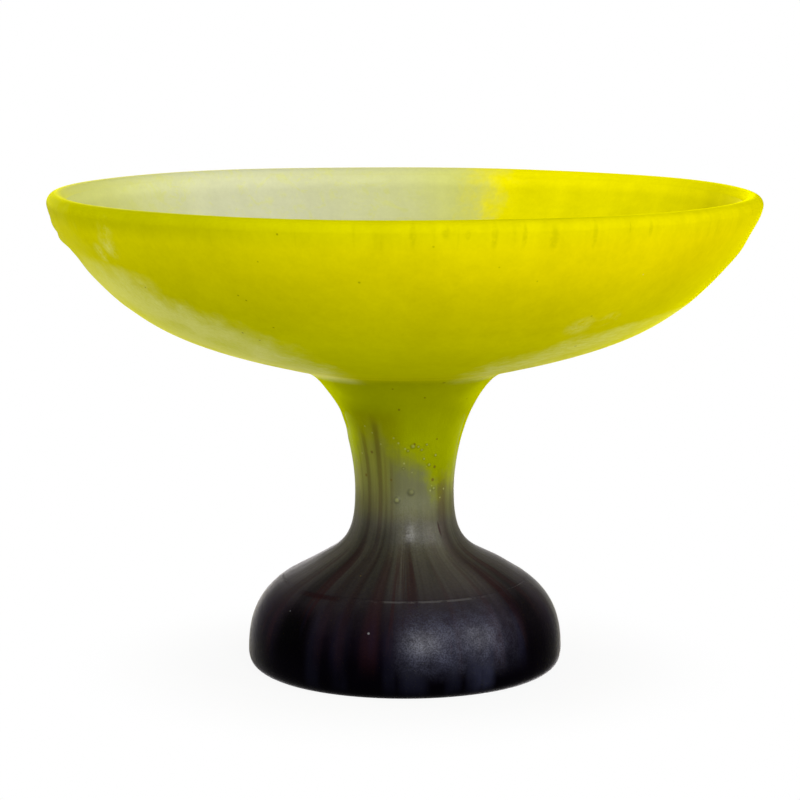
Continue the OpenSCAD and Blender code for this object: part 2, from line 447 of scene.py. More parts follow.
def skin_piece(material):
    """The yellow skin of the stem: a thin closed layer that feathers out into tongues."""
    way = np.vstack([neck.trace(SKIN_TRACE_STEPS), flare.trace(2 * SKIN_TRACE_STEPS)[1:]])
    joint_at = np.linalg.norm(np.diff(way, axis=0), axis=1).sum()
    way = np.vstack([way, bowl_low.trace(2 * SKIN_TRACE_STEPS)[1:]])
    length = np.concatenate([[0], np.cumsum(np.linalg.norm(np.diff(way, axis=0), axis=1))])
    step = np.gradient(way, length, axis=0)
    into = left(step / np.linalg.norm(step, axis=1)[:, None])
    turn = np.linspace(0, 2 * math.pi, STEM_TURNS, endpoint=False)
    start = np.interp(skin_edge(turn), way[:, 1], length)
    end = joint_at + SKIN_OVER
    beside = turn[1] - turn[0]
    reach = range(-FEATHER_COLUMNS, FEATHER_COLUMNS + 1)
    bend = math.radians(FLARE_END_SLOPE - BOWL_START_SLOPE)

    def ring(at, inner):
        """Beyond the edge, the skin's outer face lies just inside the stem."""
        girth = np.interp(at, length, way[:, 0]) * beside
        from_edge = np.min([
            np.hypot(k * girth, np.maximum(at - np.roll(start, k), 0)) for k in reach
        ], axis=0)
        feather = smooth(from_edge, 0, SKIN_FEATHER) * smooth(end - at, 0, SKIN_FEATHER)
        depth = -SKIN_PROUD * feather + SKIN_EDGE_SINK * (1 - feather)
        near = max(HOLLOW_REACH - abs(at - joint_at), 0)
        depth -= near**2 / HOLLOW_REACH * math.tan(bend / 2) / 2
        if inner:
            depth = SKIN_EDGE_SINK * 2 + SKIN_DEPTH * feather
        r, z = (
            np.interp(at, length, way[:, k]) + np.interp(at, length, into[:, k]) * depth
            for k in (0, 1)
        )
        return np.stack([r * np.sin(turn), -r * np.cos(turn), z + 0 * turn], axis=1)

    places = np.linspace(start.min(), end, SKIN_ROWS + 1)
    rings = [ring(at, False) for at in places] + [ring(at, True) for at in places[::-1]]
    points = stem_by_hand(np.vstack(rings))
    faces = []
    for i in range(len(rings)):
        faces.extend(ring_faces(i * STEM_TURNS, (i + 1) % len(rings) * STEM_TURNS, STEM_TURNS))
    piece = mesh_piece("stem_skin", points, faces)
    set_in_place(piece, "stem_casing", material)


def foot_piece(material):
    crown = crown_curve()
    roof_end = shoulder.at(1, FOOT_WALL_T)[0]
    roof_top = (0, crown.points[3][1] - FOOT_WALL_T)
    roof = Curve(roof_end, NECK_START_SLOPE, roof_top, 180, *CROWN_HANDLES)
    inner_foot, inner_belly = (RING_R - RING_W, 0), (FOOT_R - FOOT_WALL_T, BELLY_Z)
    edge = Curve(inner_foot, CAVITY_START_SLOPE, inner_belly, 90, *BELLY_HANDLES)
    outline = np.vstack([
        backwards(roof.trace(SHORT_STEPS)),
        backwards(shoulder.trace(LONG_STEPS, FOOT_WALL_T))[1:],
        backwards(edge.trace(SHORT_STEPS))[1:],
        [[RING_R - RING_W + RING_ROUND, 0], [RING_R - RING_ROUND, 0]],
        belly.trace(SHORT_STEPS),
        shoulder.trace(LONG_STEPS, 0, None, 0, skirt_share)[1:],
        shoulder.trace(BED_STEPS, SKIRT_T, None, skirt_share, 1),
        crown.trace(BED_STEPS)[1:],
    ])
    piece = turned("foot", outline, TURNS, foot_by_hand)
    set_in_place(piece, "foot_bell", material)


# Shader maths as expressions
class Field:
    """A value that varies over a surface."""

    def __init__(self, nodes, socket):
        self.nodes = nodes
        self.socket = socket

    def __add__(self, other):
        return self.nodes.maths("ADD", self, other)

    def __sub__(self, other):
        return self.nodes.maths("SUBTRACT", self, other)

    def __rsub__(self, other):
        return self.nodes.maths("SUBTRACT", other, self)

    def __mul__(self, other):
        return self.nodes.maths("MULTIPLY", self, other)

    def __truediv__(self, other):
        return self.nodes.maths("DIVIDE", self, other)

    __radd__ = __add__
    __rmul__ = __mul__


class Nodes:
    """The node tree of a material or of the world."""

    def __init__(self, tree):
        self.tree = tree

    def add(self, kind, settings=None, sockets=None):
        """A node of a type, with its settings first and then its sockets' values and links."""
        node = self.tree.nodes.new("ShaderNode" + kind)
        for name, setting in (settings or {}).items():
            if name == "stops":
                self.set_stops(node.color_ramp, setting)
            elif name == "curve":
                node.color_ramp.interpolation = setting
            else:
                setattr(node, name, setting)
        self.feed_all(node, sockets or {})
        return node

    def feed_all(self, node, sockets):
        for name, value in sockets.items():
            self.feed(node.inputs[name], value)

    def set_stops(self, ramp, stops):
        while len(ramp.elements) < len(stops):
            ramp.elements.new(1)
        for element, (place, colour) in zip(ramp.elements, stops):
            element.position = place
            element.color = (*colour, 1)

    def feed(self, socket, value):
        if isinstance(value, Field):
            self.tree.links.new(value.socket, socket)
        elif socket.type == "RGBA" and len(value) == 3:
            socket.default_value = (*value, 1)
        else:
            socket.default_value = value

    def out(self, node, name=0):
        return Field(self, node.outputs[name])

    def maths(self, operation, *values):
        return self.out(self.add("Math", {"operation": operation}, dict(enumerate(values))))

    def vector_maths(self, operation, sockets, name="Vector"):
        return self.out(self.add("VectorMath", {"operation": operation}, sockets), name)

    def step(self, value, low, high, to_low=0.0, to_high=1.0):
        """An even curve from to_low, where the value is below low, to to_high above high."""
        if low > high:
            low, high, to_low, to_high = high, low, to_high, to_low
        node = self.add("MapRange", {"interpolation_type": "SMOOTHSTEP"}, {
            "Value": value, "From Min": low, "From Max": high, "To Min": to_low, "To Max": to_high,
        })
        return self.out(node, "Result")

    def band(self, value, low, high, soft):
        """1 between low and high, and 0 from soft beyond them."""
        return self.step(value, low - soft, low) * self.step(value, high + soft, high)

    def most(self, values):
        return reduce(lambda a, b: self.maths("MAXIMUM", a, b), values)

    def blend(self, share, a, b, way="MIX"):
        """Colour a led over to colour b."""
        settings = {"data_type": "RGBA", "blend_type": way, "clamp_factor": True}
        return self.out(self.add("Mix", settings, {0: share, 6: a, 7: b}), 2)

    def shade(self, colour, level):
        """A colour made darker or lighter by a level that varies."""
        channels = dict.fromkeys(("Red", "Green", "Blue"), level)
        tone = self.out(self.add("CombineColor", None, channels))
        return self.blend(1.0, colour, tone, "MULTIPLY")

    def ramp(self, value, stops, curve="LINEAR"):
        """Colours by a value, with each stop given at its own value."""
        low, high = stops[0][0], stops[-1][0]
        placed = [((at - low) / (high - low), colour) for at, colour in stops]
        share = (value - low) / (high - low)
        settings = {"stops": placed, "curve": curve}
        return self.out(self.add("ValToRGB", settings, {"Fac": share}), "Color")

    def follow(self, value, stops, curve="EASE"):
        """A number led through the stops, each a value and the number there."""
        least = min(number for _, number in stops)
        span = max(number for _, number in stops) - least
        shades = [(at, ((number - least) / span,) * 3) for at, number in stops]
        return self.ramp(value, shades, curve) * span + least

    def noise(self, point, size, detail=2.0, rough=0.5, twist=0.0):
        """Even noise from 0 to 1, with grains of about a size in millimetres."""
        return self.out(self.add("TexNoise", None, {
            "Vector": point, "Scale": 1 / size, "Detail": detail,
            "Roughness": rough, "Distortion": twist,
        }), "Fac")

    def bump(self, height, distance, strength):
        return self.out(self.add("Bump", None, {
            "Height": height, "Distance": distance * MM, "Strength": strength,
        }))


class Place:
    """Where a point of the glass lies, in millimetres, and in degrees from the front."""

    def __init__(self, nodes):
        self.nodes = nodes
        inside = nodes.out(nodes.add("TexCoord"), "Object")
        self.point = nodes.vector_maths("SCALE", {"Vector": inside, "Scale": 1 / MM})
        split = nodes.add("SeparateXYZ", None, {"Vector": self.point})
        self.x, self.y, self.height = (nodes.out(split, axis) for axis in "XYZ")
        self.radius = nodes.maths("SQRT", self.x * self.x + self.y * self.y)
        self.turn = nodes.maths("ARCTAN2", self.x, self.y * -1) * math.degrees(1)

    def up(self, *heights):
        """An even step between two heights."""
        return self.nodes.step(self.height, *heights)

    def noise(self, *grain):
        """Even noise with the same grain every way."""
        return self.nodes.noise(self.point, *grain)

    def facing(self, turn):
        """The cosine of the angle between this point's turn and a given one."""
        angle = math.radians(turn)
        return (self.x * math.sin(angle) - self.y * math.cos(angle)) / (self.radius + 0.01)

    def drawn(self, rise, girth=20):
        """A point for noise that is drawn out along the height by a factor."""
        nodes = self.nodes
        return nodes.out(nodes.add("CombineXYZ", None, {
            "X": self.x / (self.radius + 0.01) * girth,
            "Y": self.y / (self.radius + 0.01) * girth,
            "Z": self.height / rise,
        }))

    def spot(self, turn, height, radius, full=0.35):
        """1 in a round spot on the outer surface, out to a share of its radius, and 0 outside."""
        nodes = self.nodes
        centre = on_surface(turn, height)
        away = nodes.vector_maths("DISTANCE", {0: self.point, 1: centre}, "Value")
        return nodes.step(away, radius, radius * full)

    def spots(self, table, full=0.35):
        """1 in each spot of a table, and 0 outside them all."""
        return self.nodes.most([self.spot(*entry, full) for entry in table])

    def blisters(self, share, full=0.35):
        """1 on each blister, out to a share of its radius, and 0 outside them all."""
        return self.spots([(*entry[:2], entry[2] * share) for entry in BLISTERS], full)

    def nearby(self, centre, radius, full):
        """1 near a point inside the bowl, and 0 from a radius on."""
        away = self.nodes.vector_maths("DISTANCE", {0: self.point, 1: centre}, "Value")
        return self.nodes.step(away, radius, full)

    def stroke(self, turn, height, width, length, slant=0.0):
        """1 in the middle of a long thin mark along the height, and 0 outside it."""
        nodes = self.nodes
        up = (self.height - height) / (length / 2)
        across = (self.turn - turn) * (radius_at(height) * math.radians(1) / (width / 2))
        across = across + up * slant
        return nodes.step(across * across + up * up, 1.3, 0)

    def specks(self, spacing, radius, seed=0.0):
        """Small round specks scattered through the glass."""
        nodes = self.nodes
        moved = nodes.vector_maths("ADD", {0: self.point, 1: (seed, seed, seed)})
        cell = nodes.add("TexVoronoi", None, {"Vector": moved, "Scale": 1 / spacing})
        return nodes.step(nodes.out(cell, "Distance") * spacing, radius, radius * 0.4)


FINISH_SOCKETS = (
    "Roughness", "Coat Roughness", "Sheen Weight", "Sheen Roughness", "Sheen Tint",
)


def matt_material(name, values):
    """A new material that mirrors nothing, its shader and its nodes."""
    material = bpy.data.materials.new(name)
    material.use_nodes = True
    shader = material.node_tree.nodes["Principled BSDF"]
    nodes = Nodes(material.node_tree)
    nodes.feed_all(shader, {"Specular IOR Level": 0.0, **values})
    return material, shader, nodes


def glass(name, finish):
    """A satin glass: its shader, its nodes and where each point of it lies."""
    material, shader, nodes = matt_material(name, dict(zip(FINISH_SOCKETS, finish)))
    return material, shader, nodes, Place(nodes)


# Colours of the glass
YELLOW_HIGH = (0.75, 0.645, 0.0)
YELLOW_MIDDLE = (0.66, 0.60, 0.0)
YELLOW_SIDE = (0.65, 0.62, 0.0)
YELLOW_LOW = (0.52, 0.54, 0.0)
YELLOW_LIP = (0.61, 0.56, 0.0)
YELLOW_DARK = (0.22, 0.21, 0.0)
YELLOW_LIGHT = (0.85, 0.8, 0.3)
# YELLOW_INSIDE is lighter than the outside: painted light shining through the wall
YELLOW_INSIDE = (0.80, 0.73, 0.0)
OLIVE_SKIN = (0.44, 0.46, 0.0)
OLIVE_BROWN = (0.2, 0.18, 0.0)
LEFT_GREEN = (0.97, 1.06, 1.0)
RIGHT_WARM = (1.04, 1.02, 1.0)
# LIP_LINE: a fine line of painted shade along the front of the crest
LIP_LINE = (0.34, 0.34, 0.0)
# PALE, PALE_YELLOW and PALE_GREY: partly the lining's own pale glass, partly a painted reflection
# of the white surroundings
PALE = (0.62, 0.64, 0.28)
PALE_YELLOW = (0.64, 0.66, 0.18)
PALE_GREY = (0.61, 0.62, 0.42)
# A white sheen painted into the colour: a reflection of the white surroundings
PAINTED_SHEEN = (0.86, 0.88, 0.24)
BROWN_SPECK = (0.12, 0.07, 0.01)
# The light of the seeds in the glass, and of the painted highlight on each blister
SEED_AND_HIGHLIGHT = (0.55, 0.58, 0.2)
STREAK_RED = (0.026, 0.008, 0.009)
STREAK_BROWN = (0.66, 0.56, 0.62)
GREY_STEM = (0.15, 0.155, 0.10)
FOOT_SHADOW = (0.0008, 0.0004, 0.0014)
# A bluish grey for drawn bands, and for a painted highlight on the foot
BLUE_GREY = (0.028, 0.030, 0.058)
BLUE_BLACK = (0.009, 0.008, 0.022)
# A painted highlight and a dark red painted shade along the step of the skirt
SEAM_HIGHLIGHT = (0.11, 0.105, 0.11)
SEAM_RED_SHADE = (0.010, 0.002, 0.003)
SPECK_GREY = (0.3, 0.3, 0.32)
# The ground colours by height
YELLOW_BY_HEIGHT = [
    (66, (0.22, 0.24, 0.0)), (78, (0.27, 0.30, 0.0)), (88, (0.34, 0.37, 0.0)),
    (101, (0.37, 0.39, 0.0)), (110, OLIVE_SKIN), (117, YELLOW_LOW), (131, YELLOW_SIDE),
    (142, YELLOW_MIDDLE), (158, YELLOW_HIGH), (166, YELLOW_HIGH), (176, YELLOW_LIP),
]
SMOKE_BY_HEIGHT = [
    (0, (0.0006, 0.0003, 0.001)), (12, (0.002, 0.001, 0.003)), (21, (0.006, 0.0038, 0.0075)),
    (28, (0.014, 0.010, 0.014)), (33, (0.023, 0.019, 0.022)), (37, (0.032, 0.028, 0.027)),
    (46, (0.050, 0.046, 0.036)), (51, (0.059, 0.056, 0.043)), (56, (0.082, 0.078, 0.056)),
    (62, (0.125, 0.122, 0.050)), (68, (0.160, 0.160, 0.046)), (78, (0.205, 0.210, 0.034)),
    (90, (0.24, 0.25, 0.02)), (100, (0.28, 0.29, 0.01)),
]
# How much lighter the lip (a painted highlight) and the sides of stem and flare (painted edge
# light) are
LIP_BRIGHTER = 0.13
SIDE_BRIGHTER = 0.5
FLARE_BRIGHTER = 0.4
# Finishes, as values for FINISH_SOCKETS
SHEEN_YELLOW = (0.98, 0.93, 0.0)
SHEEN_PALE = (0.9, 0.92, 0.5)
SHEEN_SMOKE = (0.95, 0.91, 0.93)
YELLOW_FINISH = (0.45, 0.42, 0.9, 0.28, SHEEN_YELLOW)
PALE_FINISH = (0.5, 0.4, 0.4, 0.2, SHEEN_PALE)
SMOKY_FINISH = (0.4, 0.34, 1.0, 0.21, SHEEN_SMOKE)
OLIVE_FINISH = (0.4, 0.34, 1.0, 0.21, SHEEN_YELLOW)
VIOLET_FINISH = (0.35, 0.34, 1.0, 0.21, SHEEN_SMOKE)

# Noise: size of its grains in millimetres, detail and roughness
BOWL_CLOUDS = (34, 3, 0.55)
BOWL_GRAIN = (5, 3, 0.6)
BOWL_SATIN = (1.7, 3, 0.7)
BOWL_PEEL = (1.1, 2)
BOWL_WAVES = (11, 1)
SHEEN_EDGE = (8, 5, 0.7)
SHEEN_CLOUDS = (19, 3)
SHEEN_GRAIN = (1.5, 3, 0.7)
LINING_CLOUDS = (26, 3, 0.55)
LINING_WISPS = (7, 4, 0.65, 1.4)
LINING_EDGE = (10, 4, 0.6)
LINING_FAR = (60, 2)
LINING_SATIN = (1.5, 3, 0.7)
LINING_PEEL = (1.3, 2)
STREAK_FINE = (1.2, 3, 0.6)
STREAK_BROAD = (4, 3, 0.6, 0.5)
SMOKE_SATIN = (1, 3, 0.7)
TONGUE_RAGS = (3, 3, 0.6)
TONGUE_BLOTCHES = (3.5, 3, 0.65)
STEM_PEEL = (0.8, 2)
STEM_RIDGES = (2.2, 2)
FOOT_PEEL = (0.9, 3, 0.6)
POLISH_WEAR = (5, 3, 0.6)
POLISH_GRAIN = (0.55, 2, 0.6)

# Heights between which one look leads over to the next
LIP_HEIGHTS = (166, 172)
LIP_INSIDE_HEIGHTS = (168, 171)
LIP_LINE_HEIGHTS = (174.6, 175.4)
LINING_LIP_HEIGHTS = (168.5, 172.4)
RIM_HEIGHTS = (160, 171)
DRIP_HEIGHTS = (168, 173, 3)
SHEEN_THINS = (147, 161)
SHEEN_RIGHT_TOP = (142, 134)
SHEEN_CLOSES_ROUND = (113, 117)
SHEEN_BOTTOM = (108.5, 112.5)
COAT_THINS = (134, 116)
BROWN_HEIGHTS = (89, 95, 8)
GREY_HEIGHTS = (65, 74, 8)
SIDE_HEIGHTS = (72, 110, 10)
FLARE_BOTTOM = (96, 104)
FLARE_TOP = (114, 108)
SKIRT_SATIN_TOP = (62, 44)
RED_TOP = (54, 40)
STEM_POLISH_HEIGHTS = (50, 62, 8)
FOOT_POLISH_HEIGHTS = (18, 24, 13)
SEAM_HEIGHTS = (33.2, 33.3, 0.4)
SEAM_RED_HEIGHTS = (32.8, 33.3, 0.8)
# Radii of the lip's inner half and of the fine painted shade line on it, and how much wider it is
# behind
LIP_INSIDE_RADII = (127.8, 125.2)
LIP_LINE_OUT = (128.4, 127)
LIP_LINE_IN = (124.5, 125.5)
LIP_WIDER_BEHIND = 1.5

# Spots: turn, height and radius
PINHOLES = [
    (-7.1, 155.7, 0.8), (20.9, 155.3, 0.6), (14.1, 160.7, 0.7), (-27.4, 147.7, 0.6),
    (-33.4, 134.6, 0.6), (-25, 137.8, 0.6), (-30.9, 131.9, 0.5), (-18.6, 171.4, 0.6),
    (-22.5, 162, 0.6), (-28.5, 149.4, 0.6), (35.6, 140.9, 0.6), (40.9, 128.1, 0.7),
    (4, 168, 0.8), (-2.2, 156.7, 0.5), (49.2, 119.9, 0.5), (-50, 149, 0.5), (130, 158, 0.7),
    (-140, 150, 0.7), (171, 141, 0.6), (-112, 166, 0.6),
]
LIGHT_SPECKS = [(41.1, 155.4, 0.7), (39.9, 154, 0.5), (146, 160, 0.6)]
STEM_SPECKS = [
    (34.7, 77.1, 0.8), (33.4, 72.3, 0.9), (-36.2, 82.7, 0.8), (-49.1, 73.5, 0.8),
    (22.7, 110.9, 1), (14.1, 104.4, 0.5), (-4.6, 99.7, 0.6), (-7.7, 108.1, 0.5),
    (33.1, 87.7, 0.5), (-15.7, 72.6, 0.6), (9.4, 86.3, 0.7),
]
FOOT_SPECKS = [(-13.6, 23.6, 0.6), (-52, 27.1, 0.35), (160, 22, 0.6)]
# Patches of painted white sheen are in the next table
SHEEN_PATCHES = [
    (-52, 169, 6), (-53, 163.5, 6.9), (-57, 160, 5.4), (35, 137, 7.5), (41, 138.5, 6),
    (-41, 112.5, 10.5), (-34, 112, 7.5), (-49, 113, 9), (56, 113.5, 10.5),
]
# Centres of the looks inside the bowl, each with its outer and its full radius
# GREY_INSIDE and LEFT_INSIDE shape the painted reflection: greyer, and yellower and darker at the
# left
GREY_INSIDE = ((-56, 92, 160), 84, 12)
LEFT_INSIDE = ((-116, 8, 165), 96, 14)
SHADOW_INSIDE = ((104, 30, 165), 46, 8)
# Dark drawn ticks under the rim: turn, height, width and length; the slash also leans
RIM_TICKS = [
    (1, 171.5, 3, 11), (5.7, 172.6, 3.6, 6), (8.9, 171.4, 2.4, 4), (12.8, 171, 3, 12),
    (17.3, 171, 2.4, 10), (21.9, 170, 4.6, 11), (28.6, 170.4, 2.6, 13), (34.7, 172, 1.2, 5),
    (38.7, 171.6, 2.4, 8), (-150, 171, 3, 8), (160, 171.4, 2.4, 7), (118, 172, 2, 6),
]
STEM_SLASH = (40.6, 54, 1.1, 6, 0.6)
# The painted white sheen reaches from the left to these turns at each height, and from the right
SHEEN_LEFT = [
    (108, -14), (114, -19), (123, -23), (128, -24), (133, -28), (139, -35), (144, -43),
    (148, -47), (154, -48), (158, -61), (176, -67),
]
SHEEN_RIGHT = [
    (108, 17), (119, 20), (124, 24), (129, 31), (134, 42), (137, 54), (140, 74), (142, 90),
]
# The yellow of the stem ends at these turns and heights
YELLOW_ENDS = [
    (-180, 91), (-159, 68), (-138, 91), (-118, 83), (-98, 90), (-80, 79), (-62, 84), (-45, 91),
    (-27, 95), (-14, 87), (0, 84), (10, 82), (19, 80), (26, 76), (33, 72), (41, 71.5),
    (49, 73.5), (56, 76), (76, 75), (92, 89), (118, 82), (137, 92), (157, 75), (180, 91),
]
# Bands drawn down the glass: turn, half width in degrees, height of the top and strength
STREAKS = [
    (-45, 4.5, 94, 0.9), (-29, 4.5, 99, 0.95), (-22, 2, 88, 0.4), (-15.5, 3, 84, 0.5),
    (48.5, 10, 77, 1), (-42, 16, 72, 0.3), (-70, 6, 84, 0.4), (-58, 2, 86, 0.3),
    (4, 4, 60, 0.3), (28, 4, 58, 0.4), (72, 6, 70, 0.4), (101, 7, 88, 0.7), (131, 6, 94, 0.8),
    (168, 6, 86, 0.6), (-170, 5, 90, 0.8), (-139, 6, 92, 0.7), (-104, 7, 90, 0.7),
]
FOOT_DARK = [
    (-46, 15, 33, 0.9), (-34, 12, 28, 0.5), (-20, 7, 38, 0.5), (56, 15, 38, 0.65),
    (98, 20, 36, 0.6), (140, 14, 36, 0.7), (-112, 20, 36, 0.7), (62, 9, 44, 0.35),
    (-26, 22, 60, 0.34), (-44, 14, 64, 0.2),
]
SKIRT_LIGHT = [(34, 17, 60, 0.45), (-3, 8, 58, 0.2), (-72, 12, 46, 0.15), (150, 20, 56, 0.3)]
FOOT_RED = [
    (-13, 4.5, 50, 0.65), (-24, 3, 50, 0.4), (-33, 3, 50, 0.3), (20, 2, 50, 0.3),
    (38, 2.5, 50, 0.4), (-60, 3, 50, 0.3), (120, 4, 50, 0.4),
]
# In the next table, the bands from 3 to 31 degrees also carry a painted highlight down the foot
FOOT_BLUE = [
    (3, 6, 24, 0.2), (17, 5, 30, 0.35), (26, 5, 32, 0.5), (31, 5, 32, 0.6),
    (-35, 5, 34, 0.09), (-23.6, 5, 34, 0.1), (-5, 4, 30, 0.12), (112, 5, 32, 0.5),
    (-150, 4, 32, 0.5), (-95, 5, 32, 0.3),
]
# Where along the seam its painted shade lies
SEAM_RED_BAND = [(-42, 17, 90, 0.65)]
BAND_SWING = 7
BAND_FADE = 9
# Stripes with a soft gloss: turn, half width in degrees and strength
STEM_POLISH = [(7, 34, 1), (30, 24, 0.7), (152, 40, 0.9), (-118, 36, 0.9)]
FOOT_POLISH = [
    (10, 19, 1), (20, 16, 0.93), (30, 15, 0.96), (37, 17, 0.5), (96, 18, 0.8), (150, 22, 0.8),
    (-128, 20, 0.8),
]


def white_sheen_mask(nodes, place):
    """Where a white sheen is painted, over a glossier coat: at the left, and low at the right."""
    ragged = place.noise(*SHEEN_EDGE) - 0.5
    left_edge = nodes.follow(place.height, SHEEN_LEFT, "LINEAR")
    right_edge = nodes.follow(place.height, SHEEN_RIGHT, "LINEAR")
    left_side = nodes.step(left_edge - place.turn + ragged * 20, -4, 13)
    left_side = left_side * nodes.step(place.facing(-75), -0.1, 0.25)
    left_side = left_side * place.up(*SHEEN_THINS, 1, 0.2)
    right_side = nodes.step(place.turn - right_edge + ragged * 24, -3, 12)
    right_side = right_side * nodes.step(place.facing(80), -0.1, 0.25)
    low_right = place.up(*SHEEN_RIGHT_TOP)
    patches = place.spots(SHEEN_PATCHES, 0) * nodes.step(ragged, -0.1, 0.12)
    lined = nodes.step(nodes.noise(place.drawn(0.16, 60), 5, 2), 0.36, 0.6, 0.62, 1)
    white_sheen = nodes.most([left_side * 0.84, right_side * low_right * lined * 0.56, patches * 0.6])
    patchy = nodes.step(place.noise(*SHEEN_CLOUDS), 0.3, 0.6, 0.55, 1)
    grain = nodes.step(place.noise(*SHEEN_GRAIN), 0.35, 0.65, 0.8, 1.1)
    beside = nodes.most([nodes.step(place.facing(0), 0.95, 0.82), place.up(*SHEEN_CLOSES_ROUND)])
    return white_sheen * patchy * grain * beside * place.up(*SHEEN_BOTTOM)


def yellow_field(nodes, place):
    """The yellow of the bowl's outside, from the olive at the stem up to the warm rim."""
    colour = nodes.ramp(place.height, YELLOW_BY_HEIGHT)
    tint = nodes.blend(nodes.step(place.x, -120, 100), LEFT_GREEN, RIGHT_WARM)
    colour = nodes.blend(1.0, colour, tint, "MULTIPLY")
    lip = place.up(*LIP_HEIGHTS) * nodes.step(place.x, -30, -100)
    right_end = nodes.step(place.x, 82, 126)
    colour = nodes.shade(colour, 1 - lip * 0.14 - right_end * 0.09)
    clouds = place.noise(*BOWL_CLOUDS) - 0.5
    grain = place.noise(*BOWL_GRAIN) - 0.5
    streaky = nodes.noise(place.drawn(10, 130), 9, 3, 0.6) - 0.5
    rim = place.up(*RIM_HEIGHTS) * nodes.step(place.facing(30), 0.5, 0.85)
    satin = place.noise(*BOWL_SATIN) - 0.5
    level = 1 + clouds * 0.26 + grain * 0.13 + streaky * rim * 0.22 + satin * 0.12
    return nodes.shade(colour, level)


def yellow_with_sheen(nodes, place):
    """The yellow with its painted white sheen over it, and the mask of that sheen."""
    white_sheen = white_sheen_mask(nodes, place)
    return nodes.blend(white_sheen * 0.85, yellow_field(nodes, place), PAINTED_SHEEN), white_sheen


def lining_colour(nodes, place):
    """The pale lining with a painted reflection over it, and its yellow right half lit by painted
    light.
    """
    clouds = place.noise(*LINING_CLOUDS)
    wisps = place.noise(*LINING_WISPS)
    edge = place.noise(*LINING_EDGE) - 0.5
    far = place.noise(*LINING_FAR) * nodes.step(place.y, 60, 0)
    across = place.x - place.y * 0.05 + far * 26
    sector = nodes.step(across + edge * 34 + (clouds - 0.5) * 14, 22, 38)
    # The pale colours are partly a painted reflection, greyer, yellower and darker in places
    colour = nodes.blend(place.nearby(*GREY_INSIDE), PALE, PALE_GREY)
    at_left = place.nearby(*LEFT_INSIDE)
    near = nodes.step(across + (clouds - 0.5) * 22, -7, 25)
    colour = nodes.blend(nodes.most([near, at_left * 0.8]) * 0.85, colour, PALE_YELLOW)
    colour = nodes.blend(nodes.step(wisps, 0.5, 0.66) * 0.4, colour, PALE_YELLOW)
    beside = nodes.step(across + (wisps - 0.5) * 34, 11, 34)
    colour = nodes.blend(beside * 0.55, colour, YELLOW_INSIDE)
    colour = nodes.shade(colour, 0.94 - at_left * 0.15)
    # The yellow is made lighter by painted light through the wall, and darker at the right by a
    # painted shadow
    shadow = place.nearby(*SHADOW_INSIDE)
    yellow = nodes.shade(YELLOW_INSIDE, 0.85 + clouds * 0.34 - shadow * 0.19)
    satin = place.noise(*LINING_SATIN) - 0.5
    return nodes.shade(nodes.blend(sector, colour, yellow), 1 + satin * 0.13), sector


def lip_colour(nodes, place, colour):
    """The lip: its inner half has the lining's colours, painted lighter, with a fine painted shade
    line in front.
    """
    wider = nodes.step(place.y, 0, 60) * LIP_WIDER_BEHIND
    inner = nodes.step(place.radius - wider, *LIP_INSIDE_RADII)
    inner = inner * place.up(*LIP_INSIDE_HEIGHTS)
    inside, _ = lining_colour(nodes, place)
    # The lip's inner half is painted lighter: a painted highlight
    colour = nodes.blend(inner * 0.95, colour, nodes.shade(inside, 1 + LIP_BRIGHTER))
    # A fine line of painted shade along the front of the crest
    line = nodes.step(place.radius, *LIP_LINE_OUT) * nodes.step(place.radius, *LIP_LINE_IN)
    line = line * place.up(*LIP_LINE_HEIGHTS)
    line = line * nodes.step(place.facing(-28), 0.3, 0.75)
    return nodes.blend(line * 0.5, colour, LIP_LINE)


def yellow_glass():
    material, shader, nodes, place = glass("yellow_glass", YELLOW_FINISH)
    colour, white_sheen = yellow_with_sheen(nodes, place)
    holes = place.spots(PINHOLES)
    ticks = nodes.most([place.stroke(*tick) for tick in RIM_TICKS])
    ticks = ticks * ticks
    broken = nodes.step(place.noise(2.2, 3, 0.7), 0.3, 0.62, 0.25, 1)
    drips = nodes.step(nodes.noise(place.drawn(14, 130), 3, 2), 0.6, 0.76)
    drips = drips * nodes.band(place.height, *DRIP_HEIGHTS)
    marks = nodes.most([ticks * broken * 0.21, drips * 0.08, holes * 0.75])
    colour = nodes.blend(marks, colour, YELLOW_DARK)
    colour = nodes.blend(place.spots(LIGHT_SPECKS) * 0.6, colour, YELLOW_LIGHT)
    relief = place.noise(*BOWL_PEEL) * 0.05 + place.noise(*BOWL_WAVES)
    nodes.feed_all(shader, {
        "Base Color": lip_colour(nodes, place, colour),
        "Coat Weight": white_sheen * place.up(*COAT_THINS, 0.4, 1),
        "Normal": nodes.bump(relief, 0.5, 0.18),
    })
    return material


def pale_glass():
    material, shader, nodes, place = glass("pale_glass", PALE_FINISH)
    colour, sector = lining_colour(nodes, place)
    lines = nodes.noise(place.drawn(0.25, 130), 9, 2)
    hung = (nodes.noise(place.drawn(5, 110), 11, 3, 0.6) - 0.5) * nodes.step(place.radius, 60, 95)
    colour = nodes.shade(colour, 0.96 + lines * 0.09 + hung * 0.14)
    # The lining's lip is painted lighter: a painted highlight
    rim = place.up(*LINING_LIP_HEIGHTS)
    nodes.feed_all(shader, {
        "Base Color": nodes.shade(colour, 1 + rim * LIP_BRIGHTER),
        "Coat Weight": 0.08 * (1 - sector),
        "Normal": nodes.bump(place.noise(*LINING_PEEL) * 0.15 + lines, 0.3, 0.3),
    })
    return material


def bands(nodes, place, streaks):
    """Soft bands drawn down the glass."""
    swing = (nodes.noise(place.drawn(30), 6, 2) - 0.5) * BAND_SWING
    parts = []
    for turn, wide, top, strength in streaks:
        aside = nodes.maths("ABSOLUTE", place.turn + swing - turn)
        under = place.up(top, top - BAND_FADE)
        parts.append(nodes.step(aside, wide, wide * 0.25) * under * strength)
    return nodes.most(parts)


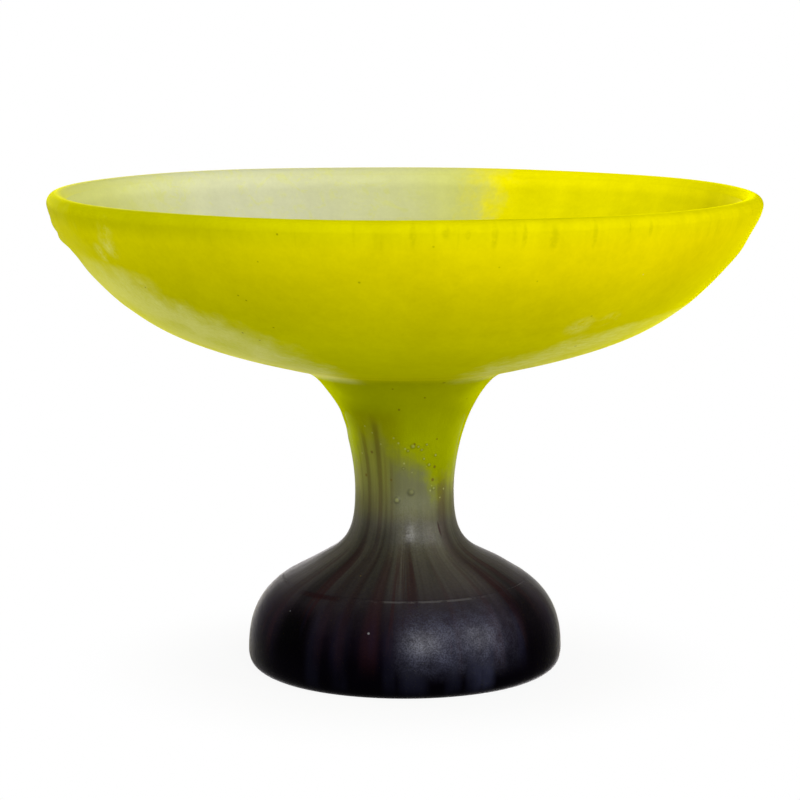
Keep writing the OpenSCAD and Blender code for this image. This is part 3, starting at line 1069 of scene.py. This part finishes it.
def smoke_colour(nodes, place):
    """The drawn glass of stem and foot: smoky grey-green above, violet-black below."""
    colour = nodes.ramp(place.height, SMOKE_BY_HEIGHT)
    fine = nodes.noise(place.drawn(34), *STREAK_FINE)
    broad = nodes.noise(place.drawn(26), *STREAK_BROAD)
    depth = place.up(60, 38, 1, 2)
    level = 1 + ((fine - 0.5) * 0.35 + (broad - 0.5) * 0.9) * depth
    level = level + bands(nodes, place, SKIRT_LIGHT) * place.up(30, 37)
    colour = nodes.shade(colour, nodes.most([level, 0.25]))
    red = nodes.step(fine + broad, 0.98, 0.84) * place.up(*RED_TOP)
    red = red * nodes.step(nodes.noise(place.drawn(14), 4, 1), 0.4, 0.6)
    red = nodes.most([red * 0.6, bands(nodes, place, FOOT_RED) * 0.7])
    colour = nodes.blend(red, colour, STREAK_RED)
    satin = place.noise(*SMOKE_SATIN) - 0.5
    satin = satin * place.up(*SKIRT_SATIN_TOP)
    return nodes.shade(colour, 1 - bands(nodes, place, FOOT_DARK) * 0.95 + satin * 0.5), fine


def tongues_over(nodes, place, smoke, yellow, fine):
    """The yellow over the smoke, down to its ragged tongues, and the height above their ends."""
    ragged = nodes.noise(place.drawn(2.2), *TONGUE_RAGS) - 0.5
    blotched = place.noise(*TONGUE_BLOTCHES) - 0.5
    above = place.height - nodes.follow(place.turn, YELLOW_ENDS) + ragged * 6 + blotched * 11
    above = above + (fine - 0.5) * 4
    return nodes.blend(nodes.step(above, -11, 5), smoke, yellow), above


def stem_colour(nodes, place):
    """Yellow that ends in tongues, over drawn smoky glass with dark streaks."""
    smoke, fine = smoke_colour(nodes, place)
    dark = bands(nodes, place, STREAKS) * place.up(34, 46, 0.45, 1)
    # The stem's yellow carries the same painted white sheen as the bowl
    yellow, white_sheen = yellow_with_sheen(nodes, place)
    brown = nodes.step(place.facing(-29), 0.84, 0.99) * nodes.band(place.height, *BROWN_HEIGHTS)
    yellow = nodes.blend(brown * 0.4, yellow, OLIVE_BROWN)
    grey = nodes.step(place.facing(12), 0.82, 0.98) * nodes.band(place.height, *GREY_HEIGHTS)
    smoke = nodes.blend(grey * 0.6, smoke, GREY_STEM)
    colour, above = tongues_over(nodes, place, smoke, yellow, fine)
    colour = nodes.blend(dark * 0.85, colour, nodes.blend(1.0, colour, STREAK_BROWN, "MULTIPLY"))
    seeds = place.specks(3.6, 0.5, 3) * nodes.band(above, -7, 3, 5)
    # A painted shade ring round each blister and a painted highlight on it; the seeds are light
    # specks in the glass
    colour = nodes.shade(colour, 1 - place.blisters(BLISTER_REACH, 0.5) * 0.22)
    light = nodes.most([seeds, place.blisters(0.7)]) * 0.35
    colour = nodes.blend(light, colour, SEED_AND_HIGHLIGHT)
    specks = nodes.most([place.spots(STEM_SPECKS), place.specks(11, 0.45, 7) * 0.6])
    colour = nodes.blend(specks * 0.75, colour, BROWN_SPECK)
    # The sides of the stem and of its flare are painted lighter: painted light from behind at
    # their edges
    side = nodes.step(place.facing(0), 0.76, 0.25) * nodes.band(place.height, *SIDE_HEIGHTS)
    flare_side = nodes.step(place.facing(0), 0.95, 0.5) * place.up(*FLARE_BOTTOM)
    flare_side = flare_side * place.up(*FLARE_TOP)
    colour = nodes.shade(colour, 1 + side * SIDE_BRIGHTER + flare_side * FLARE_BRIGHTER)
    return nodes.blend(place.stroke(*STEM_SLASH) * 0.8, colour, STREAK_RED), white_sheen


def polish(nodes, place, turns, heights):
    """Upright stripes where the satin was rubbed to a grainy gloss."""
    stripes = [
        nodes.step(place.facing(turn), math.cos(math.radians(width)), 1) * strength
        for turn, width, strength in turns
    ]
    stripes = [stripe * stripe for stripe in stripes]
    worn = nodes.step(place.noise(*POLISH_WEAR), 0.3, 0.62, 0.5, 1)
    grain = nodes.step(place.noise(*POLISH_GRAIN), 0.34, 0.66, 0.5, 1.2)
    return nodes.most(stripes) * nodes.band(place.height, *heights) * worn * grain


def stem_glass(name, finish):
    """The satin glass of the stem, for its core and for the skin that runs out over it."""
    material, shader, nodes, place = glass(name, finish)
    colour, white_sheen = stem_colour(nodes, place)
    polished = polish(nodes, place, STEM_POLISH, STEM_POLISH_HEIGHTS)
    ridges = nodes.noise(place.drawn(30), *STEM_RIDGES)
    nodes.feed_all(shader, {
        "Base Color": colour,
        "Coat Weight": white_sheen * 0.9 + polished * 0.7,
        "Normal": nodes.bump(place.noise(*STEM_PEEL) * 0.4 + ridges * 0.7, 0.35, 0.5),
    })
    return material


def seam_highlight_and_shade(nodes, place, colour):
    """A painted highlight along the skirt's step at the front, and a dark red painted shade at the
    left.
    """
    # A painted highlight where the skirt's step meets the light
    seam_highlight = nodes.band(place.height, *SEAM_HEIGHTS) * nodes.step(place.facing(12), 0.84, 0.98)
    broken = nodes.step(place.noise(4, 3, 0.6), 0.36, 0.56)
    colour = nodes.blend(seam_highlight * broken * 0.4, colour, SEAM_HIGHLIGHT)
    # A dark red painted shade along the step at the left
    seam_shade = nodes.band(place.height, *SEAM_RED_HEIGHTS) * bands(nodes, place, SEAM_RED_BAND)
    return nodes.blend(seam_shade, colour, SEAM_RED_SHADE)


def violet_glass():
    material, shader, nodes, place = glass("violet_glass", VIOLET_FINISH)
    colour, _ = smoke_colour(nodes, place)
    soft = nodes.noise(place.drawn(14), 4, 2)
    blue = nodes.step(soft, 0.48, 0.66) * place.up(34, 24)
    colour = nodes.blend(blue * 0.4, colour, BLUE_BLACK)
    colour = nodes.blend(place.up(20, 6), colour, FOOT_SHADOW)
    polished = polish(nodes, place, FOOT_POLISH, FOOT_POLISH_HEIGHTS)
    uneven = nodes.step(nodes.noise(place.drawn(5), 5, 3, 0.6), 0.34, 0.62, 0.35, 1)
    # Bluish drawn bands, and a painted bluish highlight on the polished stripes
    blue_bands_and_highlight = nodes.most([polished * 0.75, bands(nodes, place, FOOT_BLUE) * uneven])
    colour = nodes.blend(blue_bands_and_highlight * place.up(0, 6, 0.3, 1), colour, BLUE_GREY)
    colour = seam_highlight_and_shade(nodes, place, colour)
    waves = nodes.noise(place.drawn(20), 4, 1)
    nodes.feed_all(shader, {
        "Base Color": nodes.blend(place.spots(FOOT_SPECKS) * 0.5, colour, SPECK_GREY),
        "Coat Weight": 0.004 + polished * 0.5,
        "Normal": nodes.bump(place.noise(*FOOT_PEEL) * 0.5 + waves, 0.3, 0.6),
    })
    return material


bowl_piece(yellow_glass())
lining_piece(pale_glass())
stem_piece(stem_glass("smoky_glass", SMOKY_FINISH))
skin_piece(stem_glass("olive_glass", OLIVE_FINISH))
foot_piece(violet_glass())


# Camera: fitted to the rim's ellipse and the foot's circle in the photograph
CAMERA_DISTANCE = 1050 * MM
CAMERA_HEIGHT = 252.25 * MM
CAMERA_ASIDE = -1.75 * MM
CAMERA_PITCH = 8.281
FOCAL_PIXELS = 2878.9
FRAME_PIXELS = 800
SENSOR = 36


def set_camera():
    data = bpy.data.cameras.new("camera")
    data.sensor_width = SENSOR
    data.lens = FOCAL_PIXELS / FRAME_PIXELS * SENSOR
    data.clip_end = 200
    camera = put_in_scene("camera", data)
    camera.location = (CAMERA_ASIDE, -CAMERA_DISTANCE, CAMERA_HEIGHT)
    camera.rotation_euler = (math.radians(90 - CAMERA_PITCH), 0, 0)
    bpy.context.scene.camera = camera


# Soft boxes: name, power, width, height, degrees to the right of the front, degrees up, distance
LAMPS = [
    ("key", 16, 0.5, 0.9, 14, 26, 1.7),
    ("side", 9.7, 0.45, 0.9, 60, 24, 1.7),
    ("right_rim", 5.6, 0.5, 0.9, 112, 14, 1.7),
    ("left_rim", 8.5, 0.5, 0.9, -112, 14, 1.7),
]
AIM_Z = 0.1


def set_lamp(name, power, width, height, turn, rise, distance):
    """A soft box aimed at the bowl."""
    data = bpy.data.lights.new(name, "AREA")
    data.shape = "RECTANGLE"
    data.energy = power
    data.size = width
    data.size_y = height
    lamp = put_in_scene(name, data)
    turn, rise = math.radians(turn), math.radians(rise)
    flat = distance * math.cos(rise)
    high = AIM_Z + distance * math.sin(rise)
    lamp.location = (flat * math.sin(turn), -flat * math.cos(turn), high)
    lamp.rotation_euler = (math.pi / 2 - rise, 0, turn)


# How brightly each side of the white surroundings lights the glass
WORLD_LEFT = 1.1
WORLD_RIGHT = 0.2
WORLD_FRONT = 0.2
WORLD_BACK = 1.3
WORLD_ABOVE = 0.15


def seen_directly(nodes):
    """1 for what the camera, a reflection or a look through glass shows of the surroundings."""
    path = nodes.add("LightPath")
    rays = ("Is Camera Ray", "Is Glossy Ray", "Is Transmission Ray")
    return nodes.most([nodes.out(path, ray) for ray in rays])


def set_world():
    world = bpy.data.worlds.new("world")
    bpy.context.scene.world = world
    world.use_nodes = True
    nodes = Nodes(world.node_tree)
    way = nodes.add("SeparateXYZ", None, {"Vector": nodes.out(nodes.add("TexCoord"), "Generated")})
    sides = [
        ("X", -1, WORLD_LEFT), ("X", 1, WORLD_RIGHT), ("Y", -1, WORLD_FRONT), ("Y", 1, WORLD_BACK),
        ("Z", 1, WORLD_ABOVE),
    ]
    level = 0
    for axis, sign, side_level in sides:
        share = nodes.most([nodes.out(way, axis) * sign, 0])
        level = share * share * side_level + level
    strength = level + seen_directly(nodes) * (1 - level)
    background = world.node_tree.nodes["Background"]
    nodes.feed_all(background, {"Color": (1, 1, 1), "Strength": strength})


FLOOR_RADIUS = 80
FLOOR_GREY = (0.55, 0.55, 0.55)
# The floor shows its own shading near the foot, and is plain white further out
SHADE_NEAR = 58
SHADE_FAR = 130
SHADE_SHARE = 0.08


def set_floor():
    bpy.ops.mesh.primitive_circle_add(vertices=128, radius=FLOOR_RADIUS, fill_type="NGON")
    floor = bpy.context.object
    floor.name = "floor"
    looks = {"Base Color": FLOOR_GREY, "Roughness": 1.0}
    material, shader, nodes = matt_material("floor", looks)
    white = nodes.add("Emission")
    shaded = nodes.step(Place(nodes).radius, SHADE_FAR, SHADE_NEAR) * SHADE_SHARE
    share = seen_directly(nodes) * (1 - shaded)
    mix = nodes.add("MixShader", None, {0: share, 1: nodes.out(shader), 2: nodes.out(white)})
    surface = material.node_tree.nodes["Material Output"].inputs["Surface"]
    nodes.feed(surface, nodes.out(mix))
    floor.data.materials.append(material)


set_camera()
set_world()
set_floor()
for lamp in LAMPS:
    set_lamp(*lamp)
bpy.context.scene.view_settings.view_transform = "Standard"
